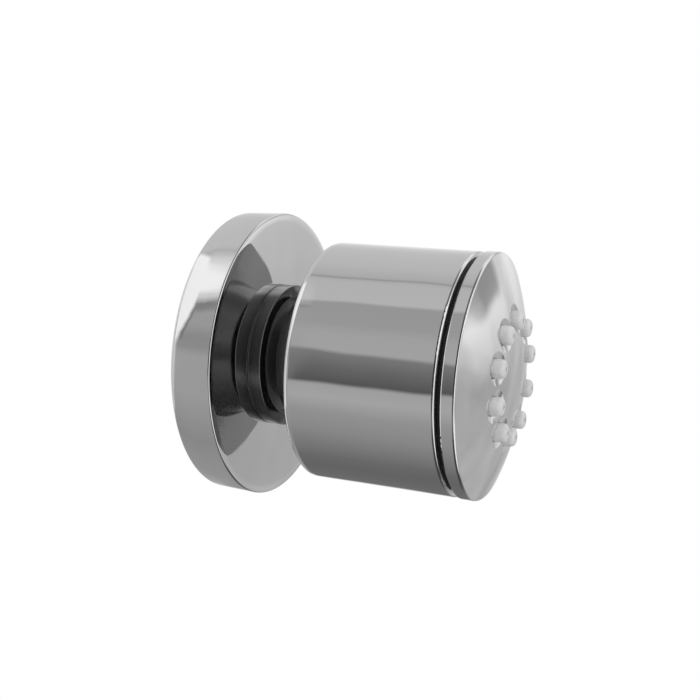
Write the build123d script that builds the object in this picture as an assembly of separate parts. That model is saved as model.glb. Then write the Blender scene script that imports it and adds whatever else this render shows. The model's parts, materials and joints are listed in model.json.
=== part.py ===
from build123d import *
import os
from math import cos, radians, sin, sqrt, tan

# Wall-mounted shower body jet, in millimetres.
# The wall is the plane Y = 0, the jet points along -Y, +Z is up.
# A station is a distance from the wall along the jet's axis, so its point has Y = -station.

# Running and assembly clearances
running = 0.05
turning = 0.05
snug = 0.02
hair = 0.03

# Small roundings: an edge broken on a lathe, and a moulded or cast corner
edge_break = 0.3
moulded = 0.7

# How far a cutter runs past the surface that it cuts, and a boss or nozzle runs into what carries it
past = 1.0
root_depth = 0.5

# Wall flange
flange_depth = 9.1
flange_back_radius = 30.2
flange_draft = 0.3
flange_face_thickness = 2.0
flange_wall = 3.6
flange_back_rounding = 0.9
flange_boss_wall = 4.25
flange_boss_depth = 6.0
flange_hole_clearance = 0.27
grip_groove_depth = 1.82
grip_groove_width = 2.4
grip_groove_setback = 2.2
gasket_rebate = 2.0
gasket_thickness = 2.2
gasket_width = 2.55

# Ball connector: threaded tail, plain shank, collar, neck and ball
tail_radius = 10.48
tail_length = 8.8
thread_front = 2.6
tail_chamfer = 1.16
tail_wall = 3.48
tail_mouth_wall = 2.08
shank_step = 0.48
collar_radius = 15.3
collar_width = 3.0
collar_land = 2.7
collar_recess = 1.2
neck_radius = 5.5
ball_radius = 9.5
ball_setback = 2.6
ball_front = 7.6
passage_radius = 3.6
key_across_flats = 8.0
key_depth = 6.0
seal_groove_station = 4.4
seal_groove_width = 2.2
seal_groove_depth = 3.0
limiter_bore_end = 3.0
strainer_seat_depth = 2.2

# Strainer and flow limiter
washer_width = 2.5
mesh_thickness = 0.3
mesh_bite = 1.0
mesh_height = 1.6
mesh_foot_gap = 0.4
mesh_bend = 0.8
mesh_hole_radius = 0.42
mesh_hole_pitch = 1.7
limiter_length = 7.4
limiter_wall = 2.35
limiter_plate = 1.6
limiter_core_radius = 1.5
limiter_core_setback = 1.2
limiter_hole_radius = 0.6
limiter_hole_circle = 2.7
limiter_hole_count = 8
limiter_groove_depth = 1.4
limiter_groove_width = 2.0
limiter_groove_setback = 2.6

# Swivel nut, seats and seals round the ball
neck_gap = 13.1
nose_gap = 2.1
nose_radius = 12.6
nose_rounding = 0.5
nose_relief = 0.2
nut_radius = 15.2
nut_band = 1.3
pocket_wall = 1.35
pocket_setback = 3.2
spigot_wall = 2.15
cushion_thickness = 0.75
cushion_width = 1.2
seat_past_equator = 0.8
cup_front_angle = 38.3
cup_wall = 1.35
cup_groove_inset = 2.45
cup_groove_width = 1.6
cup_groove_depth = 1.2

# Drum-shaped head shell
head_radius = 25.0
shell_length = 30.85
shell_wall = 1.8
shell_back_thickness = 2.0
shell_inner_rounding = 1.0
shell_lip = 0.65
shell_hole_clearance = 0.2

# Inner water body
hub_wall = 4.0
body_floor = 2.5
outlet_radius = 7.0
chamber_wall = 2.4
chamber_rounding = 1.5
front_collar_length = 9.3
front_collar_wall = 1.95
body_shell_gap = 0.3
body_front_setback = 0.75
rib_count = 6
rib_thickness = 2.0
rib_setback = 1.0
rib_shell_gap = 0.15
seal_ledge = 1.8

# Groove, face ring, dome and nozzles
groove_width = 1.05
groove_depth = 1.35
face_ring_width = 2.75
face_ring_proud = 0.15
face_ring_chamfer = 0.25
face_ring_rounding = 0.55
dome_height = 5.25
dome_thickness = 2.0
face_spigot_wall = 2.1
face_spigot_length = 6.7
nozzle_count = 10
nozzle_circle_radius = 11.85
nozzle_first_angle = 23.7
nozzle_radius = 1.97
nozzle_taper = 0.1
nozzle_tip_rounding = 0.9
nozzle_proud = 1.55
nozzle_bore_radius = 1.15
orifice_radius = 0.5
orifice_length = 1.0
dimple_radius = 3.5
dimple_depth = 0.9
mat_thickness = 1.5
backing_thickness = 2.2
backing_hole_radius = 1.3

# Five self-tapping screws that hold the backing plate
screw_count = 5
screw_inset = 3.4
screw_radius = 1.15
screw_head_radius = 2.2
screw_head_height = 1.5
screw_boss_wall = 1.25
screw_pad = 0.95
screw_pad_margin = 0.4
screw_tip_cover = 1.0
screw_tip_gap = 0.2

# Radii worked out from the sizes above
flange_front_radius = flange_back_radius + flange_draft
flange_inner_radius = flange_back_radius - flange_wall
flange_rebate_radius = flange_inner_radius + gasket_rebate
flange_hole_radius = tail_radius + flange_hole_clearance
shank_radius = tail_radius - shank_step
limiter_bore_radius = tail_radius - tail_wall
limiter_groove_radius = limiter_bore_radius - limiter_groove_depth
strainer_seat_radius = tail_radius - tail_mouth_wall
strainer_hole_radius = strainer_seat_radius - washer_width
seal_groove_radius = ball_radius - seal_groove_depth
pocket_radius = ball_radius + pocket_wall
spigot_radius = pocket_radius + spigot_wall
cup_groove_radius = pocket_radius - cup_groove_inset
hub_radius = spigot_radius + hub_wall
shell_inner_radius = head_radius - shell_wall
body_radius = shell_inner_radius - body_shell_gap
front_bore_radius = body_radius - front_collar_wall
face_spigot_radius = front_bore_radius - running
chamber_radius = face_spigot_radius - face_spigot_wall
mat_radius = chamber_radius - hair
screw_circle_radius = chamber_radius - screw_inset
screw_boss_radius = screw_radius + screw_boss_wall
face_ring_radius = head_radius + face_ring_proud
dome_radius = (face_ring_radius**2 + dome_height**2) / (2 * dome_height)
dome_inner = dome_radius - dome_thickness
mat_outer = dome_inner - hair
mat_inner = mat_outer - mat_thickness
backing_outer = mat_inner - hair
backing_inner = backing_outer - backing_thickness

# Stations worked out from the sizes above
flange_front = flange_depth
collar_front = flange_front + collar_width
recess_floor = collar_front - collar_recess
head_back = flange_front + neck_gap
ball_centre = head_back - ball_setback
ball_face = ball_centre + ball_front
nose_back = collar_front + nose_gap
pocket_shoulder = ball_centre - pocket_setback
seat_back = pocket_shoulder + snug + cushion_thickness + snug
seat_front = ball_centre + seat_past_equator
cup_back = seat_front + turning
cup_front = ball_centre + (ball_radius + turning) * cos(radians(cup_front_angle)) + cup_wall
spigot_end = cup_front
body_back = head_back + shell_back_thickness
body_floor_back = spigot_end + running
body_floor_front = body_floor_back + body_floor
shell_front = head_back + shell_length
body_front = shell_front - body_front_setback
ring_back = shell_front + groove_width
ring_front = ring_back + face_ring_width
dome_top = ring_front + dome_height
dome_centre = dome_top - dome_radius
spigot_back = ring_back - face_spigot_length
ledge = spigot_back - seal_ledge


def turned(*corners):
    """A solid turned about the jet's axis. A corner is (station, radius) or (station, radius, rounding)."""
    points = [Vector(corner[1], -corner[0]) for corner in corners]
    roundings = [corner[2] if len(corner) == 3 else 0 for corner in corners]
    starts, ends, edges = [], [], []
    for i, point in enumerate(points):
        to_last = (points[i - 1] - point).normalized()
        to_next = (points[(i + 1) % len(points)] - point).normalized()
        half = radians(to_last.get_angle(to_next)) / 2
        reach = roundings[i] / tan(half)
        starts.append(point + to_last * reach)
        ends.append(point + to_next * reach)
        if roundings[i]:
            inward = (to_last + to_next).normalized()
            middle = point + inward * (roundings[i] / sin(half) - roundings[i])
            edges.append(Edge.make_three_point_arc(starts[i], middle, ends[i]))
    for i, end in enumerate(ends):
        start = starts[(i + 1) % len(starts)]
        edges.append(Edge.make_line(end, start))
    return revolve(Face(Wire(edges)), Axis.Y)


def sphere(station, radius):
    """A ball centred on the axis at a station."""
    return Pos(0, -station, 0) * Sphere(radius)


def o_ring(station, inner_radius, outer_radius, squeeze=snug):
    """A round seal that fills the space between two radii, at a station."""
    section = (outer_radius - inner_radius) / 2 - squeeze / 2
    middle = (outer_radius + inner_radius) / 2
    return Pos(0, -station, 0) * Rot(90, 0, 0) * Torus(middle, section)


def on_circle(radius, angle):
    """The X and Z of a point seen from the wall: angles run from +X towards -Z."""
    return radius * cos(radians(angle)), -radius * sin(radians(angle))


def drilled(x, z, back, front, radius):
    """A round bar or cutter along the axis direction, between two stations."""
    return Pos(x, -(back + front) / 2, z) * Rot(90, 0, 0) * Cylinder(radius, front - back)


def dome_station(radius, shell_radius):
    """The station of a dome surface at a radius from the axis."""
    return dome_centre + sqrt(shell_radius**2 - radius**2)


nozzle_angles = [nozzle_first_angle + 360 / nozzle_count * k for k in range(nozzle_count)]
screw_angles = [nozzle_angles[0] + 180 / nozzle_count + 360 / screw_count * k for k in range(screw_count)]


def wall_flange():
    """Cup-shaped cover with a flat front, an open back and a boss that holds its grip ring."""
    groove_front = flange_front - grip_groove_setback
    groove_back = groove_front - grip_groove_width
    groove_radius = tail_radius + grip_groove_depth
    boss_radius = flange_hole_radius + flange_boss_wall
    inner_face = flange_front - flange_face_thickness
    boss_back = flange_front - flange_boss_depth
    return turned(
        (0, flange_back_radius, flange_back_rounding),
        (flange_front, flange_front_radius, edge_break),
        (flange_front, flange_hole_radius),
        (groove_front, flange_hole_radius),
        (groove_front, groove_radius),
        (groove_back, groove_radius),
        (groove_back, flange_hole_radius),
        (boss_back, flange_hole_radius),
        (boss_back, boss_radius),
        (inner_face, boss_radius, moulded),
        (inner_face, flange_inner_radius, moulded),
        (gasket_thickness, flange_inner_radius),
        (gasket_thickness, flange_rebate_radius),
        (0, flange_rebate_radius),
    )


def wall_gasket():
    """Soft ring in the rebate of the flange's back edge, flush with it against the tiles."""
    outer = flange_rebate_radius - running
    return turned(
        (0, outer - gasket_width),
        (0, outer),
        (gasket_thickness - hair, outer),
        (gasket_thickness - hair, outer - gasket_width),
    )


def flange_grip_ring():
    """O-ring in the flange's boss that grips the shank."""
    middle = flange_front - grip_groove_setback - grip_groove_width / 2
    return o_ring(middle, shank_radius, tail_radius + grip_groove_depth)


def ball_connector():
    """One turned piece: threaded tail, shank, clamping collar, neck and ball, with the water passage through it."""
    neck_end = ball_centre - sqrt(ball_radius**2 - neck_radius**2)
    body = turned(
        (-tail_length, 0),
        (-tail_length, tail_radius - tail_chamfer),
        (tail_chamfer - tail_length, tail_radius),
        (thread_front, tail_radius),
        (thread_front, shank_radius),
        (flange_front, shank_radius),
        (flange_front, collar_radius, edge_break),
        (collar_front, collar_radius, edge_break),
        (collar_front, collar_radius - collar_land, edge_break),
        (recess_floor, collar_radius - collar_land - collar_recess / 2, edge_break),
        (recess_floor, neck_radius, edge_break),
        (neck_end + root_depth, neck_radius),
        (neck_end + root_depth, 0),
    )
    body += sphere(ball_centre, ball_radius)
    body -= drilled(0, 0, ball_face, ball_centre + ball_radius + past, ball_radius)
    groove_back = ball_centre + seal_groove_station - seal_groove_width / 2
    body -= turned(
        (groove_back, seal_groove_radius),
        (groove_back, ball_radius + past),
        (groove_back + seal_groove_width, ball_radius + past),
        (groove_back + seal_groove_width, seal_groove_radius),
    )
    body -= drilled(0, 0, -tail_length - past, strainer_seat_depth - tail_length, strainer_seat_radius)
    body -= drilled(0, 0, -tail_length, limiter_bore_end, limiter_bore_radius)
    body -= drilled(0, 0, 0, ball_face + past, passage_radius)
    key = extrude(RegularPolygon(key_across_flats / 2, 6, major_radius=False), key_depth + past)
    body -= Pos(0, -(ball_face - key_depth), 0) * Rot(90, 0, 0) * key
    return body


def strainer_washer():
    """Rubber washer in the mouth of the tail, grooved inside for the mesh."""
    back = -tail_length + snug
    front = strainer_seat_depth - tail_length - snug
    middle = (back + front) / 2
    slot = mesh_thickness / 2 + snug
    outer = strainer_seat_radius - running
    return turned(
        (back, strainer_hole_radius),
        (back, outer),
        (front, outer),
        (front, strainer_hole_radius),
        (middle + slot, strainer_hole_radius),
        (middle + slot, strainer_hole_radius + mesh_bite),
        (middle - slot, strainer_hole_radius + mesh_bite),
        (middle - slot, strainer_hole_radius),
    )


def strainer_mesh():
    """Hat-shaped mesh with a flat brim that snaps into its washer."""
    middle = strainer_seat_depth / 2 - tail_length
    back = middle - mesh_thickness / 2
    front = middle + mesh_thickness / 2
    foot = strainer_hole_radius - mesh_foot_gap
    crown = foot - mesh_height
    top = front + mesh_height
    mesh = turned(
        (back, strainer_hole_radius + mesh_bite - snug),
        (front, strainer_hole_radius + mesh_bite - snug),
        (front, foot),
        (top, crown, mesh_thickness + mesh_bend),
        (top, 0),
        (top - mesh_thickness, 0),
        (top - mesh_thickness, crown - mesh_thickness / 2, mesh_bend),
        (back, foot - mesh_thickness / 2),
    )
    reach = int(foot / mesh_hole_pitch)
    for column in range(-reach, reach + 1):
        for row in range(-reach, reach + 1):
            x, z = column * mesh_hole_pitch, row * mesh_hole_pitch
            if sqrt(x * x + z * z) < foot - mesh_hole_pitch / 2:
                mesh -= drilled(x, z, back - past, top + past, mesh_hole_radius)
    return mesh


def flow_limiter():
    """Plastic cartridge: a cup with a pierced end plate and a central core."""
    front = limiter_bore_end - snug
    back = front - limiter_length
    outer = limiter_bore_radius - running
    groove_front = front - limiter_groove_setback
    groove_back = groove_front - limiter_groove_width
    core_start = back + limiter_core_setback
    body = turned(
        (back, outer - limiter_wall),
        (back, outer, edge_break),
        (groove_back, outer),
        (groove_back, limiter_groove_radius),
        (groove_front, limiter_groove_radius),
        (groove_front, outer),
        (front, outer),
        (front, 0),
        (core_start, 0),
        (core_start, limiter_core_radius, moulded),
        (front - limiter_plate, limiter_core_radius),
        (front - limiter_plate, outer - limiter_wall),
    )
    for k in range(limiter_hole_count):
        x, z = on_circle(limiter_hole_circle, 360 / limiter_hole_count * k)
        body -= drilled(x, z, front - limiter_plate - past, front + past, limiter_hole_radius)
    return body


def limiter_o_ring():
    """O-ring round the cartridge."""
    middle = limiter_bore_end - snug - limiter_groove_setback - limiter_groove_width / 2
    return o_ring(middle, limiter_groove_radius, limiter_bore_radius)


def ball_seal_ring():
    """Seal in the ball's groove, rounded outside to the ball's own curve."""
    half = seal_groove_width / 2 - running
    middle = ball_centre + seal_groove_station
    ring = turned(
        (middle - half, seal_groove_radius + running),
        (middle - half, ball_radius + past),
        (middle + half, ball_radius + past),
        (middle + half, seal_groove_radius + running),
    )
    return ring & sphere(ball_centre, ball_radius + hair)


def ball_seat_ring():
    """Seat that the ball bears on from the wall side, hollowed to the ball's curve."""
    bore = ball_radius - past
    ring = turned(
        (seat_back, bore),
        (seat_back, pocket_radius - turning, edge_break),
        (seat_front, pocket_radius - turning, edge_break),
        (seat_front, bore),
    )
    return ring - sphere(ball_centre, ball_radius + turning)


def seat_cushion():
    """Rubber ring that presses the seat ring onto the ball."""
    outer = pocket_radius - running
    return turned(
        (pocket_shoulder + snug, outer - cushion_width),
        (pocket_shoulder + snug, outer),
        (seat_back - snug, outer),
        (seat_back - snug, outer - cushion_width),
    )


def swivel_nut():
    """Conical nose that traps the ball, a shoulder against the shell and a spigot into the head."""
    nut = turned(
        (nose_back, ball_radius / 2),
        (nose_back, nose_radius, nose_rounding),
        (head_back - nut_band, nut_radius, edge_break),
        (head_back, nut_radius),
        (head_back, spigot_radius),
        (spigot_end, spigot_radius, edge_break),
        (spigot_end, pocket_radius),
        (pocket_shoulder, pocket_radius),
        (pocket_shoulder, ball_radius / 2),
    )
    return nut - sphere(ball_centre, ball_radius + nose_relief)


def ball_cup():
    """Cup with the spherical seat that the ball's seal runs in."""
    opening = (ball_radius + turning) * sin(radians(cup_front_angle))
    outer = pocket_radius - running
    groove = cup_groove_width / 2
    cup = turned(
        (cup_back, opening),
        (cup_back, outer),
        (cup_front, outer, edge_break),
        (cup_front, cup_groove_radius + groove),
        (cup_front - cup_groove_depth, cup_groove_radius + groove),
        (cup_front - cup_groove_depth, cup_groove_radius - groove),
        (cup_front, cup_groove_radius - groove),
        (cup_front, opening, edge_break),
    )
    return cup - sphere(ball_centre, ball_radius + turning)


def cup_o_ring():
    """O-ring between the cup and the inner body's floor."""
    depth = body_floor_back - cup_front + cup_groove_depth
    section = depth / 2 - snug
    middle = body_floor_back - depth / 2
    return Pos(0, -middle, 0) * Rot(90, 0, 0) * Torus(cup_groove_radius, section)


def head_shell():
    """Polished drum with a flat pierced back and an open front with a rounded lip."""
    hole = spigot_radius + shell_hole_clearance
    return turned(
        (head_back, hole),
        (head_back, head_radius, edge_break),
        (shell_front, head_radius, shell_lip),
        (shell_front, shell_inner_radius),
        (body_back, shell_inner_radius, shell_inner_rounding),
        (body_back, hole),
    )


def inner_body():
    """Moulded water body: threaded hub, chamber, ribs and a front collar that takes the face."""
    bore = spigot_radius + running
    chamber_outer = chamber_radius + chamber_wall
    collar_back = body_front - front_collar_length
    body = turned(
        (body_back, bore),
        (body_back, hub_radius, moulded),
        (body_floor_back, hub_radius, moulded),
        (body_floor_back, chamber_outer, moulded),
        (collar_back, chamber_outer, moulded),
        (collar_back, body_radius),
        (body_front, body_radius),
        (body_front, front_bore_radius),
        (ledge, front_bore_radius),
        (ledge, chamber_radius),
        (body_floor_front, chamber_radius, chamber_rounding),
        (body_floor_front, outlet_radius, moulded),
        (body_floor_back, outlet_radius),
        (body_floor_back, bore),
    )
    rib_depth = body_radius - chamber_outer + past
    rib_back = body_floor_back + rib_setback
    rib_middle = (rib_back + collar_back) / 2
    for k in range(rib_count):
        rib = Box(rib_depth, collar_back - rib_back + past, rib_thickness)
        rib = Pos(body_radius - rib_depth / 2 - rib_shell_gap, -rib_middle, 0) * rib
        body += Rot(0, 360 / rib_count * k, 0) * rib
    return body


def groove_ring():
    """Black ring between the drum and the face ring."""
    return turned(
        (shell_front + hair, face_spigot_radius + running),
        (shell_front + hair, head_radius - groove_depth),
        (ring_back - hair, head_radius - groove_depth),
        (ring_back - hair, face_spigot_radius + running),
    )


def chamber_o_ring():
    """O-ring between the face's spigot and the ledge in the inner body."""
    section = seal_ledge / 2 - snug
    middle = front_bore_radius - section - snug
    return Pos(0, -(spigot_back + ledge) / 2, 0) * Rot(90, 0, 0) * Torus(middle, section)


def dimple_cutter(x, z):
    """A ball that leaves a shallow dish in the dome, square to the dome at (x, z)."""
    bowl = (dimple_radius**2 + dimple_depth**2) / (2 * dimple_depth)
    reach = (dome_radius - dimple_depth + bowl) / dome_radius
    height = dome_station(sqrt(x * x + z * z), dome_radius) - dome_centre
    return Pos(x * reach, -(dome_centre + height * reach), z * reach) * Sphere(bowl)


def face_plate():
    """Domed face with its ring, a threaded spigot, countersunk nozzle holes and five screw bosses."""
    plate = turned(
        (spigot_back, 0),
        (spigot_back, face_spigot_radius, edge_break),
        (ring_back, face_spigot_radius),
        (ring_back, face_ring_radius - face_ring_chamfer),
        (ring_back + face_ring_chamfer, face_ring_radius),
        (ring_front, face_ring_radius),
        (dome_top + past, face_ring_radius),
        (dome_top + past, 0),
    )
    plate &= sphere(dome_centre, dome_radius)
    rim = [edge for edge in plate.edges() if abs(edge.center().Y + ring_front) < hair]
    plate = fillet(rim, face_ring_rounding)
    hollow = drilled(0, 0, spigot_back - past, dome_top, chamber_radius)
    hollow &= sphere(dome_centre, dome_inner)
    plate -= hollow
    for angle in screw_angles:
        x, z = on_circle(screw_circle_radius, angle)
        boss_back = dome_station(screw_circle_radius - screw_boss_radius, backing_outer) + hair
        skin = dome_station(screw_circle_radius, dome_radius)
        plate += drilled(x, z, boss_back, skin - dome_thickness + root_depth, screw_boss_radius)
        plate -= drilled(x, z, boss_back - past, skin - screw_tip_cover, screw_radius + snug)
    for angle in nozzle_angles:
        x, z = on_circle(nozzle_circle_radius, angle)
        skin = dome_station(nozzle_circle_radius, dome_radius)
        plate -= dimple_cutter(x, z)
        plate -= drilled(x, z, skin - 2 * dome_thickness, skin, nozzle_radius + running)
    return plate


def nozzle_mat():
    """One soft moulding: a domed mat with ten nozzles that stand through the face."""
    mat = drilled(0, 0, spigot_back, dome_top, mat_radius)
    mat &= sphere(dome_centre, mat_outer)
    mat -= sphere(dome_centre, mat_inner)
    for angle in screw_angles:
        x, z = on_circle(screw_circle_radius, angle)
        mat -= drilled(x, z, spigot_back, dome_top, screw_boss_radius + running)
    root = dome_station(nozzle_circle_radius, (mat_outer + mat_inner) / 2)
    tip = dome_station(nozzle_circle_radius, dome_radius) + nozzle_proud
    nozzle = turned(
        (root, 0),
        (root, nozzle_radius),
        (tip, nozzle_radius - nozzle_taper, nozzle_tip_rounding),
        (tip, 0),
    )
    bore_end = tip - orifice_length
    for angle in nozzle_angles:
        x, z = on_circle(nozzle_circle_radius, angle)
        mat += Pos(x, 0, z) * nozzle
        mat -= drilled(x, z, root - mat_thickness, bore_end, nozzle_bore_radius)
        mat -= drilled(x, z, bore_end - past, tip + past, orifice_radius)
    return mat


def backing_plate():
    """Plastic plate behind the mat, pierced behind each nozzle and screwed to the face plate."""
    plate = drilled(0, 0, spigot_back, dome_top, mat_radius)
    plate &= sphere(dome_centre, backing_outer)
    plate -= sphere(dome_centre, backing_inner)
    for angle in nozzle_angles:
        x, z = on_circle(nozzle_circle_radius, angle)
        plate -= drilled(x, z, spigot_back, dome_top, backing_hole_radius)
    for angle in screw_angles:
        x, z = on_circle(screw_circle_radius, angle)
        seat = dome_station(screw_circle_radius, backing_inner)
        plate -= drilled(x, z, spigot_back, dome_top, screw_radius + 2 * running)
        plate += drilled(x, z, seat - screw_pad, seat + root_depth, screw_head_radius + screw_pad_margin)
        plate -= drilled(x, z, spigot_back, dome_top, screw_radius + 2 * running)
    return plate


def backing_screws():
    """Five identical pan-head screws in one group."""
    seat = dome_station(screw_circle_radius, backing_inner) - screw_pad - snug
    tip = dome_station(screw_circle_radius, dome_radius) - screw_tip_cover - screw_tip_gap
    screw = turned(
        (seat - screw_head_height, 0),
        (seat - screw_head_height, screw_head_radius, moulded),
        (seat, screw_head_radius),
        (seat, screw_radius),
        (tip, screw_radius, edge_break),
        (tip, 0),
    )
    return Compound([Pos(x, 0, z) * screw for x, z in [on_circle(screw_circle_radius, a) for a in screw_angles]])


pieces = [
    wall_flange,
    wall_gasket,
    flange_grip_ring,
    ball_connector,
    strainer_washer,
    strainer_mesh,
    flow_limiter,
    limiter_o_ring,
    ball_seal_ring,
    ball_seat_ring,
    seat_cushion,
    swivel_nut,
    ball_cup,
    cup_o_ring,
    head_shell,
    inner_body,
    groove_ring,
    chamber_o_ring,
    face_plate,
    nozzle_mat,
    backing_plate,
    backing_screws,
]

os.makedirs("parts", exist_ok=True)
for piece in pieces:
    export_step(piece(), f"parts/{piece.__name__}.step")
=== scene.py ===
import bpy
import json
import math
from mathutils import Matrix, Vector

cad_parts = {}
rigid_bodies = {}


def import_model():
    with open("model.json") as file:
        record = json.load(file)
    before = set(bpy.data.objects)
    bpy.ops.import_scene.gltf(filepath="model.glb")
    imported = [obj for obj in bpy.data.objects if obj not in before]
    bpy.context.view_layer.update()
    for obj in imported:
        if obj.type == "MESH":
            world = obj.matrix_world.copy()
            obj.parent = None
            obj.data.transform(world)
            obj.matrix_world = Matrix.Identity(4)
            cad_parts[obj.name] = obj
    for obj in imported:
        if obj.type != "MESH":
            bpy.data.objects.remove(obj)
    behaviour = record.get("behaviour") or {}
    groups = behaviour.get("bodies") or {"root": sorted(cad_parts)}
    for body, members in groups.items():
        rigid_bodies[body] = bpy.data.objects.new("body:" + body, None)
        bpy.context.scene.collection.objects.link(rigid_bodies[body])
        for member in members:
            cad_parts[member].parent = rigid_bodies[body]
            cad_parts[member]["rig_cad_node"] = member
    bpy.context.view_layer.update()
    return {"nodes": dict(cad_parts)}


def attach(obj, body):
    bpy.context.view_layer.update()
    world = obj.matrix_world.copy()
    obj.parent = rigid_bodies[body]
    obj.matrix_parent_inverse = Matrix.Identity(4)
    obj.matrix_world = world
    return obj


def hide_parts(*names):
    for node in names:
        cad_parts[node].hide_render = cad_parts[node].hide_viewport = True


# A shower body jet: chromed wall flange, ball joint and drum head with soft nozzles.
# The jet points along -Y, the wall is Y = 0, and Blender's lengths are in metres.

MM = 0.001

# Sizes in mm. Stations are distances from the wall, so a point has Y = -station.
TAIL_END = -8.8
THREAD_FRONT = 2.6
THREAD_CREST = 10.48
THREAD_ROOT = 9.32
THREAD_PITCH = 25.4 / 14
RIM_BUFFED_BEHIND = 4.2
FACE_BUFFED_OUTSIDE = 28.6
COLLAR_BACK = 9.0
NECK_START = 13.0
COLLAR_RECESS = 12.9
HEAD_BACK = 22.2
DRUM_BUFFED_BEHIND = HEAD_BACK + 1.1

CHROME = (0.78, 0.78, 0.785)

# The room's own greys, as the chrome mirrors them.
WHITE_PANEL = (1.08, 1.08, 1.08)
PALE_WALL = (0.88, 0.88, 0.88)
GREY_AHEAD = (0.62, 0.62, 0.62)
DARK_CARD = (0.26, 0.26, 0.26)

# The room is laid out by degrees round the jet's axis, from +X up through +Z. Its ramps start here.
SEAM = -60

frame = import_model()
nodes = frame["nodes"]


def deselect():
    bpy.ops.object.select_all(action="DESELECT")


def set_up_camera():
    """A camera 230 mm from the head, to its left and above, as the photograph was taken."""
    pixels = 700
    focal_pixels = 1054.27
    sensor = 36
    head_in_view = Vector((-3.16024103, 2.08380624, 225.71065646))
    jet_in_view = Vector((0.9183516, 0.09559317, -0.38404725)).normalized()
    y_axis = -jet_in_view
    z_axis = Vector((0, -0.384047, -0.0955932)).normalized()
    x_axis = y_axis.cross(z_axis)
    place = Vector([-head_in_view.dot(axis) for axis in (x_axis, y_axis, z_axis)])
    place.y -= HEAD_BACK
    right, down, ahead = (Vector((x_axis[i], y_axis[i], z_axis[i])) for i in range(3))
    turned = Matrix((right, -down, -ahead)).transposed().to_4x4()
    data = bpy.data.cameras.new("camera")
    data.sensor_width = sensor
    data.lens = focal_pixels / pixels * sensor
    data.clip_start = 0.01
    data.clip_end = 20
    camera = bpy.data.objects.new("camera", data)
    bpy.context.scene.collection.objects.link(camera)
    camera.matrix_world = Matrix.Translation(place * MM) @ turned
    bpy.context.scene.camera = camera


class Shader:
    """Adds nodes to a material or to the world, one call for each node."""

    def __init__(self, tree):
        self.tree = tree

    def add(self, kind, *sources, **settings):
        """A node whose first sockets take the sources, with settings of its own or of named sockets."""
        node = self.tree.nodes.new(kind)
        for name, value in settings.items():
            if hasattr(node, name):
                setattr(node, name, value)
            else:
                node.inputs[name.replace("_", " ")].default_value = value
        for socket, source in enumerate(sources):
            self.feed(source, node, socket)
        return node

    def feed(self, source, node, socket):
        """Gives a socket a link, a number or a colour."""
        if isinstance(source, (int, float)):
            node.inputs[socket].default_value = source
        elif isinstance(source, tuple):
            node.inputs[socket].default_value = (*source, 1)
        else:
            self.tree.links.new(source, node.inputs[socket])

    def work_out(self, operation, *sources):
        return self.add("ShaderNodeMath", *sources, operation=operation).outputs[0]

    def blend(self, factor, first, second, way="MIX"):
        """Two colours mixed by a factor."""
        node = self.add("ShaderNodeMix", data_type="RGBA", blend_type=way)
        for socket, source in ((0, factor), (6, first), (7, second)):
            self.feed(source, node, socket)
        return node.outputs[2]

    def between(self, factor, first, second):
        """Two numbers mixed by a factor."""
        node = self.add("ShaderNodeMix")
        for socket, source in ((0, factor), (2, first), (3, second)):
            self.feed(source, node, socket)
        return node.outputs[0]

    def spread(self, source, low, high, start=0.3, end=0.7):
        """Turns a level that runs from start to end into one between low and high."""
        return self.add("ShaderNodeMapRange", source, From_Min=start, From_Max=end,
                        To_Min=low, To_Max=high).outputs[0]

    def ramp(self, source, stops):
        """A grey ramp through (position, brightness) stops."""
        node = self.add("ShaderNodeValToRGB", source)
        elements = node.color_ramp.elements
        while len(elements) < len(stops):
            elements.new(0.5)
        for element, (position, level) in zip(elements, stops):
            element.position = position
            element.color = (level, level, level, 1)
        return node.outputs[0]

    def grain(self, scale, detail=3.0, stretch=(1, 1, 1)):
        """Noise on the piece's own coordinates; scale counts its waves in a metre."""
        place = self.add("ShaderNodeTexCoord").outputs["Object"]
        mapped = self.add("ShaderNodeMapping", place, Scale=stretch).outputs[0]
        return self.add("ShaderNodeTexNoise", mapped, Scale=scale, Detail=detail).outputs["Fac"]

    def lathe_rings(self):
        """Fine rings round the jet's axis."""
        return self.grain(1, 2.0, stretch=(30, 4200, 30))

    def station(self):
        """Distance from the wall, in metres, at each point of a piece."""
        place = self.add("ShaderNodeTexCoord").outputs["Object"]
        return self.work_out("MULTIPLY", self.add("ShaderNodeSeparateXYZ", place).outputs["Y"], -1.0)

    def radius(self):
        """Distance from the jet's axis, in metres, at each point of a piece."""
        place = self.add("ShaderNodeTexCoord").outputs["Object"]
        parts = self.add("ShaderNodeSeparateXYZ", place)
        squares = [self.work_out("POWER", parts.outputs[axis], 2.0) for axis in "XZ"]
        return self.work_out("POWER", self.work_out("ADD", *squares), 0.5)

    def fall_off(self, distance, start, sign, curve):
        """Height that drops with the square of the way past a start, as a buffed corner does."""
        way = self.work_out("MULTIPLY", self.work_out("ADD", distance, -start), sign)
        beyond = self.work_out("MAXIMUM", way, 0.0)
        return self.work_out("MULTIPLY", self.work_out("MULTIPLY", beyond, beyond), -curve)


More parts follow.
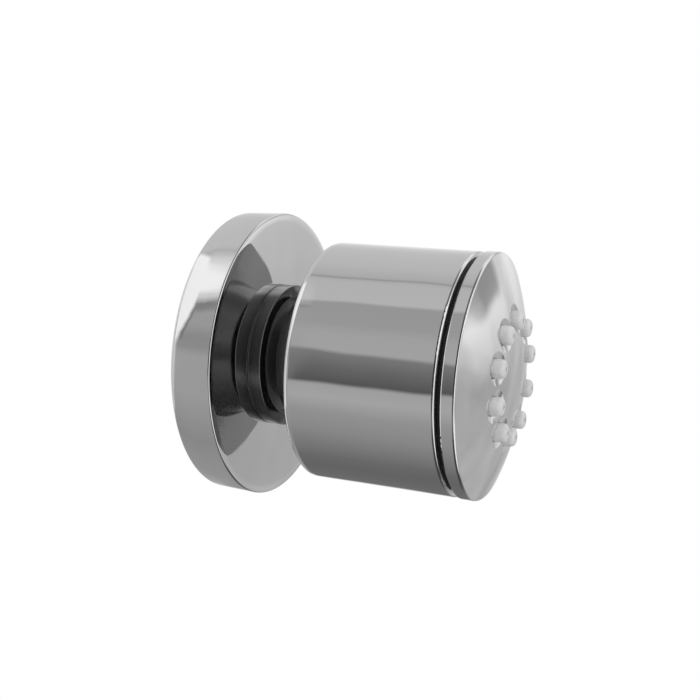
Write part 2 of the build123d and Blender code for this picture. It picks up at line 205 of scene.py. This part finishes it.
class Finish(Shader):
    """A material with one Principled shader, whose even values sit on its own sockets."""

    def __init__(self, name, colour, metallic, roughness, **sockets):
        self.material = bpy.data.materials.new(name)
        self.material.use_nodes = True
        super().__init__(self.material.node_tree)
        self.skin = self.tree.nodes["Principled BSDF"]
        self.feed(colour, self.skin, "Base Color")
        self.feed(metallic, self.skin, "Metallic")
        self.feed(roughness, self.skin, "Roughness")
        for socket, value in sockets.items():
            self.feed(value, self.skin, socket.replace("_", " "))

    def rough(self, source):
        self.feed(source, self.skin, "Roughness")

    def tint(self, source, dark, light):
        """Lets a level carry the colour between two tones."""
        self.feed(self.blend(source, dark, light), self.skin, "Base Color")

    def mottle(self, noise, dark, light):
        """Lets a noise level carry the colour over the whole of its usual range."""
        self.tint(self.spread(noise, 0.0, 1.0), dark, light)

    def bump(self, height, distance=1.0, strength=1.0):
        node = self.add("ShaderNodeBump", Strength=strength, Distance=distance)
        self.feed(height, node, "Height")
        self.feed(node.outputs[0], self.skin, "Normal")


def flange_chrome():
    """Bright chrome over polished brass, buffed a little round towards the rim's back and the face's edge."""
    finish = Finish("flange_chrome", CHROME, 1.0, 0.035)
    haze = finish.grain(90, 4.0, stretch=(1, 0.4, 1))
    finish.rough(finish.spread(haze, 0.02, 0.06))
    finish.mottle(finish.grain(45, 2.0), (0.755, 0.755, 0.76), (0.80, 0.80, 0.805))
    rim_back = finish.fall_off(finish.station(), RIM_BUFFED_BEHIND * MM, -1.0, curve=22.0)
    face_edge = finish.fall_off(finish.radius(), FACE_BUFFED_OUTSIDE * MM, 1.0, curve=60.0)
    wave = finish.work_out("MULTIPLY", finish.grain(60, 1.0), 0.00015)
    finish.bump(finish.work_out("ADD", finish.work_out("ADD", rim_back, face_edge), wave))
    return finish.material


def drum_chrome():
    """Polished chrome, buffed soft at its back edge; its flat back, out of sight, is satin and painted dark
    grey, a painted shade that the flange and collar mirror in the gap.
    """
    finish = Finish("drum_chrome", CHROME, 1.0, 0.035)
    station = finish.station()
    back = finish.work_out("LESS_THAN", station, (HEAD_BACK + 0.12) * MM)
    # Painted shade: the flat back gets a dark grey colour so that its mirror image in the flange and collar
    # reads as the gap's shade.
    finish.tint(back, (0.785, 0.785, 0.79), (0.26, 0.26, 0.265))
    haze = finish.spread(finish.grain(90, 4.0, stretch=(1, 0.4, 1)), 0.015, 0.05)
    satin = finish.work_out("MULTIPLY", back, 0.15)
    finish.rough(finish.work_out("ADD", haze, satin))
    wave = finish.work_out("MULTIPLY", finish.grain(55, 1.0), 0.0003)
    back_edge = finish.fall_off(station, DRUM_BUFFED_BEHIND * MM, -1.0, curve=300.0)
    finish.bump(finish.work_out("ADD", wave, back_edge))
    return finish.material


def face_chrome():
    """Polished chrome over a pressed face, which makes its mirror image swim a little."""
    finish = Finish("face_chrome", CHROME, 1.0, 0.03)
    finish.rough(finish.spread(finish.grain(90, 4.0), 0.015, 0.06))
    finish.bump(finish.grain(105, 0.7), 0.00024)
    return finish.material


def dark_chrome():
    """Chrome with a dark base colour for the swivel nut, a painted shade for the gap between flange and head;
    satin, with the lathe's fine rings.
    """
    finish = Finish("dark_chrome", (0.18, 0.18, 0.185), 0.8, 0.2)
    rings = finish.lathe_rings()
    finish.rough(finish.spread(rings, 0.15, 0.24))
    finish.mottle(finish.grain(140), (0.15, 0.15, 0.155), (0.21, 0.21, 0.215))
    finish.bump(rings, 0.000004, 0.5)
    return finish.material


def connector_brass():
    """Chrome painted dark on the collar, neck and ball, as painted shade in the gap between flange and head;
    bare turned brass on the tail behind the flange.
    """
    finish = Finish("connector_brass", (0.28, 0.28, 0.285), 0.93, 0.1)
    station = finish.station()
    plated = finish.spread(station, 0.0, 1.0, (COLLAR_BACK - 1.0) * MM, COLLAR_BACK * MM)
    dull = finish.spread(finish.grain(260, 4.0), 0.0, 1.0)
    brass = finish.blend(dull, (0.56, 0.41, 0.17), (0.70, 0.53, 0.25))
    along_collar = finish.spread(station, 0.0, 1.0, COLLAR_BACK * MM, NECK_START * MM)
    # Painted shade along the collar: darkest against the flange, lighter towards its front edge, and darkest
    # of all on its front face, neck and ball.
    collar_shade = finish.ramp(along_collar, [(0.0, 0.16), (0.25, 0.26), (0.6, 0.33), (0.76, 0.33), (0.78, 0.11)])
    finish.tint(plated, brass, collar_shade)
    rings = finish.lathe_rings()
    rough = finish.between(plated, finish.spread(rings, 0.2, 0.34), finish.spread(rings, 0.06, 0.13))
    inside = finish.work_out("LESS_THAN", finish.radius(), COLLAR_RECESS * MM)
    recess = finish.work_out("MULTIPLY", inside, plated)
    satin = finish.work_out("MULTIPLY", recess, 0.28)
    finish.rough(finish.work_out("ADD", rough, satin))
    finish.feed(finish.spread(recess, 0.95, 0.5, 0.0, 1.0), finish.skin, "Metallic")
    finish.bump(rings, 0.000006, 0.5)
    return finish.material


def soft_silicone():
    """White silicone, a little clear at its edges, with the mould's fine matt skin."""
    finish = Finish("soft_silicone", (0.64, 0.64, 0.64), 0.0, 0.42, Subsurface_Weight=0.15,
                    Subsurface_Scale=0.0015, IOR=1.41)
    finish.skin.inputs["Subsurface Radius"].default_value = (1.0, 0.9, 0.8)
    cloud = finish.grain(700)
    finish.rough(finish.spread(cloud, 0.36, 0.52))
    finish.mottle(cloud, (0.60, 0.60, 0.60), (0.69, 0.69, 0.69))
    finish.bump(finish.grain(5200, 2.0), 0.00001, 0.4)
    return finish.material


def moulded_rubber():
    """Black nitrile rubber: satin, with a faint bloom."""
    finish = Finish("moulded_rubber", (0.012, 0.012, 0.012), 0.0, 0.5, IOR=1.5)
    bloom = finish.grain(320, 4.0)
    finish.rough(finish.spread(bloom, 0.38, 0.6))
    finish.mottle(bloom, (0.008, 0.008, 0.008), (0.022, 0.022, 0.023))
    finish.bump(finish.grain(4200, 2.0), 0.000012, 0.4)
    return finish.material


def moulded_plastic(name, dark, light, smoothest, roughest):
    """Injection-moulded plastic with a fine spark-eroded grain."""
    finish = Finish(name, light, 0.0, (smoothest + roughest) / 2, IOR=1.49)
    cloud = finish.grain(260, 4.0)
    finish.rough(finish.spread(cloud, smoothest, roughest))
    finish.mottle(cloud, dark, light)
    finish.bump(finish.grain(6500, 2.0), 0.000015, 0.45)
    return finish.material


def stainless_steel():
    """Drawn stainless steel with fine lines."""
    finish = Finish("stainless_steel", (0.60, 0.59, 0.57), 1.0, 0.3)
    lines = finish.grain(1, stretch=(900, 9000, 900))
    finish.rough(finish.spread(lines, 0.2, 0.4))
    finish.mottle(finish.grain(300), (0.52, 0.51, 0.50), (0.66, 0.655, 0.645))
    finish.bump(lines, 0.000006, 0.4)
    return finish.material


def deep_thread(material):
    """The tail's own brass once more, for the thread, with painted shade that darkens it towards the roots;
    the crests keep the brass's full colour.
    """
    copy = material.copy()
    copy.name = "threaded_brass"
    shader = Shader(copy.node_tree)
    skin = copy.node_tree.nodes["Principled BSDF"]
    depth = shader.spread(shader.radius(), 0.0, 1.0, THREAD_ROOT * MM, THREAD_CREST * MM)
    # Painted shade: the brass is multiplied down to 0.42 in the thread's roots and left whole on the crests.
    root_shade = shader.ramp(depth, [(0.0, 0.42), (0.25, 0.75), (0.8, 0.95), (1.0, 1.0)])
    brass = skin.inputs["Base Color"].links[0].from_socket
    shader.feed(shader.blend(1.0, brass, root_shade, "MULTIPLY"), skin, "Base Color")
    return copy


def paint(node, material):
    """Gives a CAD node one material of this script in place of the plain one it came with."""
    for slot in nodes[node].material_slots:
        slot.material = material


def groove_cutter():
    """A helical cutter with the section of a G 1/2 thread's groove, a turn longer than the tail."""
    crest_flat = 0.3
    root_flat = 0.26
    clear = 0.07
    runout_turns = 0.4
    steps_in_a_turn = 96
    top = THREAD_CREST + clear
    slope = (THREAD_PITCH - crest_flat - root_flat) / 2 / (THREAD_CREST - THREAD_ROOT)
    root_half = root_flat / 2
    top_half = root_half + slope * (top - THREAD_ROOT)
    start = THREAD_FRONT + runout_turns * THREAD_PITCH
    turns = math.ceil((start - TAIL_END) / THREAD_PITCH) + 1
    corners = [(THREAD_ROOT, root_half), (THREAD_ROOT, -root_half), (top, top_half), (top, -top_half)]
    deselect()
    bpy.ops.mesh.primitive_plane_add(size=1, enter_editmode=True)
    cutter = bpy.context.object
    cutter.name = "groove_cutter"
    bpy.ops.mesh.delete(type="ONLY_FACE")
    bpy.ops.object.mode_set(mode="OBJECT")
    for vertex, (radius, along) in zip(cutter.data.vertices, corners):
        vertex.co = Vector((radius, -(start + along), 0)) * MM
    sweep = cutter.modifiers.new("thread", "SCREW")
    sweep.axis = "Y"
    sweep.screw_offset = THREAD_PITCH * MM
    sweep.iterations = turns
    sweep.steps = sweep.render_steps = steps_in_a_turn
    bpy.ops.object.modifier_apply(modifier="thread")
    bpy.ops.object.mode_set(mode="EDIT")
    bpy.ops.mesh.select_all(action="DESELECT")
    bpy.ops.mesh.select_mode(type="EDGE")
    bpy.ops.mesh.select_non_manifold(extend=False, use_wire=False, use_multi_face=False,
                                     use_non_contiguous=False, use_verts=False)
    bpy.ops.mesh.edge_face_add()
    bpy.ops.mesh.select_all(action="SELECT")
    bpy.ops.mesh.normals_make_consistent(inside=False)
    bpy.ops.object.mode_set(mode="OBJECT")
    return cutter


def cut_the_thread(material):
    """The connector once more, with its thread cut in the tail, in place of the plain one."""
    same_point = 0.000001
    sharpest_smooth = 32
    cutter = groove_cutter()
    deselect()
    plain = nodes["ball_connector"]
    plain.select_set(True)
    bpy.context.view_layer.objects.active = plain
    bpy.ops.object.duplicate()
    piece = bpy.context.object
    piece.name = "threaded_connector"
    if "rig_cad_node" in piece:
        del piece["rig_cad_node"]
    bpy.ops.object.mode_set(mode="EDIT")
    bpy.ops.mesh.select_all(action="SELECT")
    bpy.ops.mesh.remove_doubles(threshold=same_point)
    bpy.ops.object.mode_set(mode="OBJECT")
    bpy.ops.mesh.customdata_custom_splitnormals_clear()
    cut = piece.modifiers.new("cut", "BOOLEAN")
    cut.operation = "DIFFERENCE"
    cut.object = cutter
    cut.solver = "EXACT"
    bpy.ops.object.modifier_apply(modifier="cut")
    bpy.data.objects.remove(cutter)
    bpy.ops.object.shade_smooth_by_angle(angle=math.radians(sharpest_smooth))
    for slot in piece.material_slots:
        slot.material = material
    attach(piece, "wall_side")
    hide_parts("ball_connector")


class Room(Shader):
    """The world's shader: panels that depend on how far round the axis and how far to the wall one looks."""

    def __init__(self, tree):
        super().__init__(tree)
        self.direction = self.add("ShaderNodeTexCoord").outputs["Generated"]
        parts = self.add("ShaderNodeSeparateXYZ", self.direction)
        self.to_wall = parts.outputs["Y"]
        angle = self.work_out("ARCTAN2", parts.outputs["Z"], parts.outputs["X"])
        turns = self.work_out("MULTIPLY", angle, 1 / (2 * math.pi))
        self.around = self.work_out("FRACT", self.work_out("ADD", turns, -SEAM / 360))

    def panels(self, *stops):
        """Brightness against degrees round the axis, closed where the ramp's two ends meet."""
        placed = sorted((((degrees - SEAM) % 360) / 360, level) for degrees, level in stops)
        first, last = placed[0], placed[-1]
        gap = first[0] + 1 - last[0]
        seam = first[1] + (last[1] - first[1]) * (first[0] / gap)
        return self.ramp(self.around, [(0.0, seam)] + placed + [(1.0, seam)])

    def zone(self, start, end):
        """0 to 1 as the direction turns towards the wall; the ends may be given the other way round."""
        if start < end:
            return self.spread(self.to_wall, 0.0, 1.0, start, end)
        return self.spread(self.to_wall, 1.0, 0.0, end, start)

    def in_front(self):
        """What the spray face and the ring's edge mirror: broken panels, a dark card and a white strip."""
        side = self.panels(
            (-45, 0.50), (-30, 0.50), (-23, 0.47), (-15, 0.54), (-8, 0.72), (2, 0.90), (10, 0.55), (19, 0.60),
            (26, 1.0), (48, 1.0), (60, 0.30), (75, 0.16), (100, 0.14), (120, 0.07), (150, 0.05), (185, 0.05),
            (198, 0.11), (206, 0.2), (216, 0.17), (228, 0.07), (245, 0.06), (285, 0.07), (305, 0.25))
        cloud = self.add("ShaderNodeTexNoise", self.direction, Scale=3.4, Detail=1.5).outputs["Fac"]
        patches = self.ramp(cloud, [(0.36, 0.84), (0.46, 0.95), (0.54, 1.02), (0.62, 1.08)])
        broken = self.blend(1.0, side, patches, "MULTIPLY")
        card_side = self.panels((-38, 0.0), (0, 0.0), (5, 0.75), (12, 0.75), (17, 0.0), (300, 0.0))
        card_height = self.ramp(self.zone(-1.0, 0.0), [(0.21, 0.0), (0.32, 1.0), (0.52, 1.0), (0.62, 0.0)])
        carded = self.blend(self.work_out("MULTIPLY", card_side, card_height), broken, DARK_CARD)
        strip_side = self.panels((-52, 0.0), (40, 0.0), (62, 1.0), (285, 1.0), (300, 0.0))
        strip_height = self.ramp(self.zone(-1.0, -0.5),
                                 [(0.0, 0.1), (0.1, 0.2), (0.2, 1.0), (0.68, 1.0), (0.9, 0.0)])
        lit = self.blend(self.work_out("MULTIPLY", strip_side, strip_height), carded, WHITE_PANEL)
        return self.blend(self.zone(-0.93, -0.998), lit, GREY_AHEAD)

    def at_the_wall(self):
        """What the drum's side and the flange mirror, with a white window that their back edges catch."""
        drum_side = self.panels(
            (-38, 0.17), (-30, 0.70), (-4, 0.86), (6, 0.82), (14, 0.70), (28, 0.62), (60, 0.58), (71, 0.53),
            (77, 0.50), (79, 0.34), (80.5, 0.50), (84, 0.55), (106, 0.56), (109, 0.38), (130, 0.39),
            (140, 0.44), (156, 0.45), (159, 0.23), (172, 0.16), (185, 0.11), (188, 0.43), (200, 0.46),
            (215, 0.36), (235, 0.31), (252, 0.24), (270, 0.175), (285, 0.155))
        wall_side = self.panels(
            (-38, 0.42), (-30, 0.66), (0, 0.68), (20, 0.63), (72, 0.61), (78, 0.52), (84, 0.66), (94, 0.88),
            (108, 0.92), (112, 0.86), (114, 0.28), (118, 0.42), (148, 0.40), (158, 0.32), (166, 0.33),
            (174, 0.42), (206, 0.41), (235, 0.34), (250, 0.31), (275, 0.34), (298, 0.35))
        plain = self.blend(self.zone(0.43, 0.49), drum_side, wall_side)
        window_from = self.panels(
            (-38, 0.8), (60, 0.8), (85, 0.56), (108, 0.47), (118, 0.50), (130, 0.56), (142, 0.63),
            (154, 0.71), (165, 0.75), (225, 0.75), (245, 0.85), (300, 0.85))
        into_window = self.work_out("SUBTRACT", self.to_wall, window_from)
        outline = self.ramp(self.spread(into_window, 0.0, 1.0, -0.1, 0.1),
                            [(0.22, 1.0), (0.34, 0.72), (0.46, 0.6), (0.5, 1.0)])
        outline_side = self.panels((-38, 0.0), (108, 0.0), (116, 1.0), (156, 1.0), (163, 0.0), (300, 0.0))
        outlined = self.blend(outline_side, plain, outline, "MULTIPLY")
        softened = self.blend(0.5, PALE_WALL, wall_side)
        window = self.blend(self.zone(0.78, 0.88), WHITE_PANEL, softened)
        return self.blend(self.spread(into_window, 0.0, 1.0, 0.0, 0.05), outlined, window)


def light_the_room():
    """Soft panels for the chrome, an even light for the matt pieces, and white behind for the camera."""
    world = bpy.data.worlds.new("studio")
    bpy.context.scene.world = world
    world.use_nodes = True
    world.node_tree.nodes.clear()
    room = Room(world.node_tree)
    seen_in_chrome = room.blend(room.zone(0.22, 0.02), room.at_the_wall(), room.in_front())
    mirrored = room.add("ShaderNodeBackground", seen_in_chrome).outputs[0]
    even = room.add("ShaderNodeBackground", (0.86, 0.86, 0.86)).outputs[0]
    white = room.add("ShaderNodeBackground", (1.0, 1.0, 1.0)).outputs[0]
    path = room.add("ShaderNodeLightPath")
    on_pieces = room.add("ShaderNodeMixShader", path.outputs["Is Glossy Ray"], even, mirrored).outputs[0]
    in_view = room.add("ShaderNodeMixShader", path.outputs["Is Camera Ray"], on_pieces, white).outputs[0]
    room.add("ShaderNodeOutputWorld", in_view)


def lay_floor():
    """A pale floor well below the jet, white to the camera as in the photograph."""
    deselect()
    bpy.ops.mesh.primitive_plane_add(size=3, location=(0, 0, -0.14))
    floor = bpy.context.object
    floor.name = "floor"
    material = bpy.data.materials.new("pale_floor")
    material.use_nodes = True
    material.node_tree.nodes.clear()
    shader = Shader(material.node_tree)
    pale = shader.add("ShaderNodeBsdfDiffuse", (0.8, 0.8, 0.8)).outputs[0]
    white = shader.add("ShaderNodeEmission", (1.0, 1.0, 1.0)).outputs[0]
    seen = shader.add("ShaderNodeLightPath").outputs["Is Camera Ray"]
    mixed = shader.add("ShaderNodeMixShader", seen, pale, white).outputs[0]
    shader.add("ShaderNodeOutputMaterial", mixed)
    floor.data.materials.append(material)
    floor.visible_glossy = False


def hang_softbox():
    """One soft lamp above and in front, for shade on the matt pieces."""
    data = bpy.data.lights.new("softbox", "AREA")
    data.energy = 1.6
    data.size = 0.5
    lamp = bpy.data.objects.new("softbox", data)
    bpy.context.scene.collection.objects.link(lamp)
    lamp.location = (-0.35, -0.5, 0.7)
    lamp.rotation_mode = "QUATERNION"
    lamp.rotation_quaternion = (-Vector(lamp.location)).to_track_quat("-Z", "Y")
    lamp.visible_glossy = False


set_up_camera()

connector = connector_brass()
rubber = moulded_rubber()
white_plastic = moulded_plastic("white_acetal", (0.66, 0.66, 0.64), (0.76, 0.76, 0.74), 0.3, 0.45)
grey_plastic = moulded_plastic("grey_moulding", (0.17, 0.17, 0.175), (0.24, 0.24, 0.245), 0.35, 0.5)
steel = stainless_steel()

paint("wall_flange", flange_chrome())
paint("face_plate", face_chrome())
paint("head_shell", drum_chrome())
paint("swivel_nut", dark_chrome())
paint("ball_connector", connector)
paint("nozzle_mat", soft_silicone())
for seal in ("wall_gasket", "flange_grip_ring", "strainer_washer", "limiter_o_ring", "ball_seal_ring",
             "seat_cushion", "cup_o_ring", "groove_ring", "chamber_o_ring"):
    paint(seal, rubber)
for seat in ("ball_seat_ring", "ball_cup"):
    paint(seat, white_plastic)
for moulding in ("inner_body", "backing_plate", "flow_limiter"):
    paint(moulding, grey_plastic)
for steel_piece in ("strainer_mesh", "backing_screws"):
    paint(steel_piece, steel)

cut_the_thread(deep_thread(connector))
light_the_room()
lay_floor()
hang_softbox()
bpy.context.scene.view_settings.view_transform = "Standard"
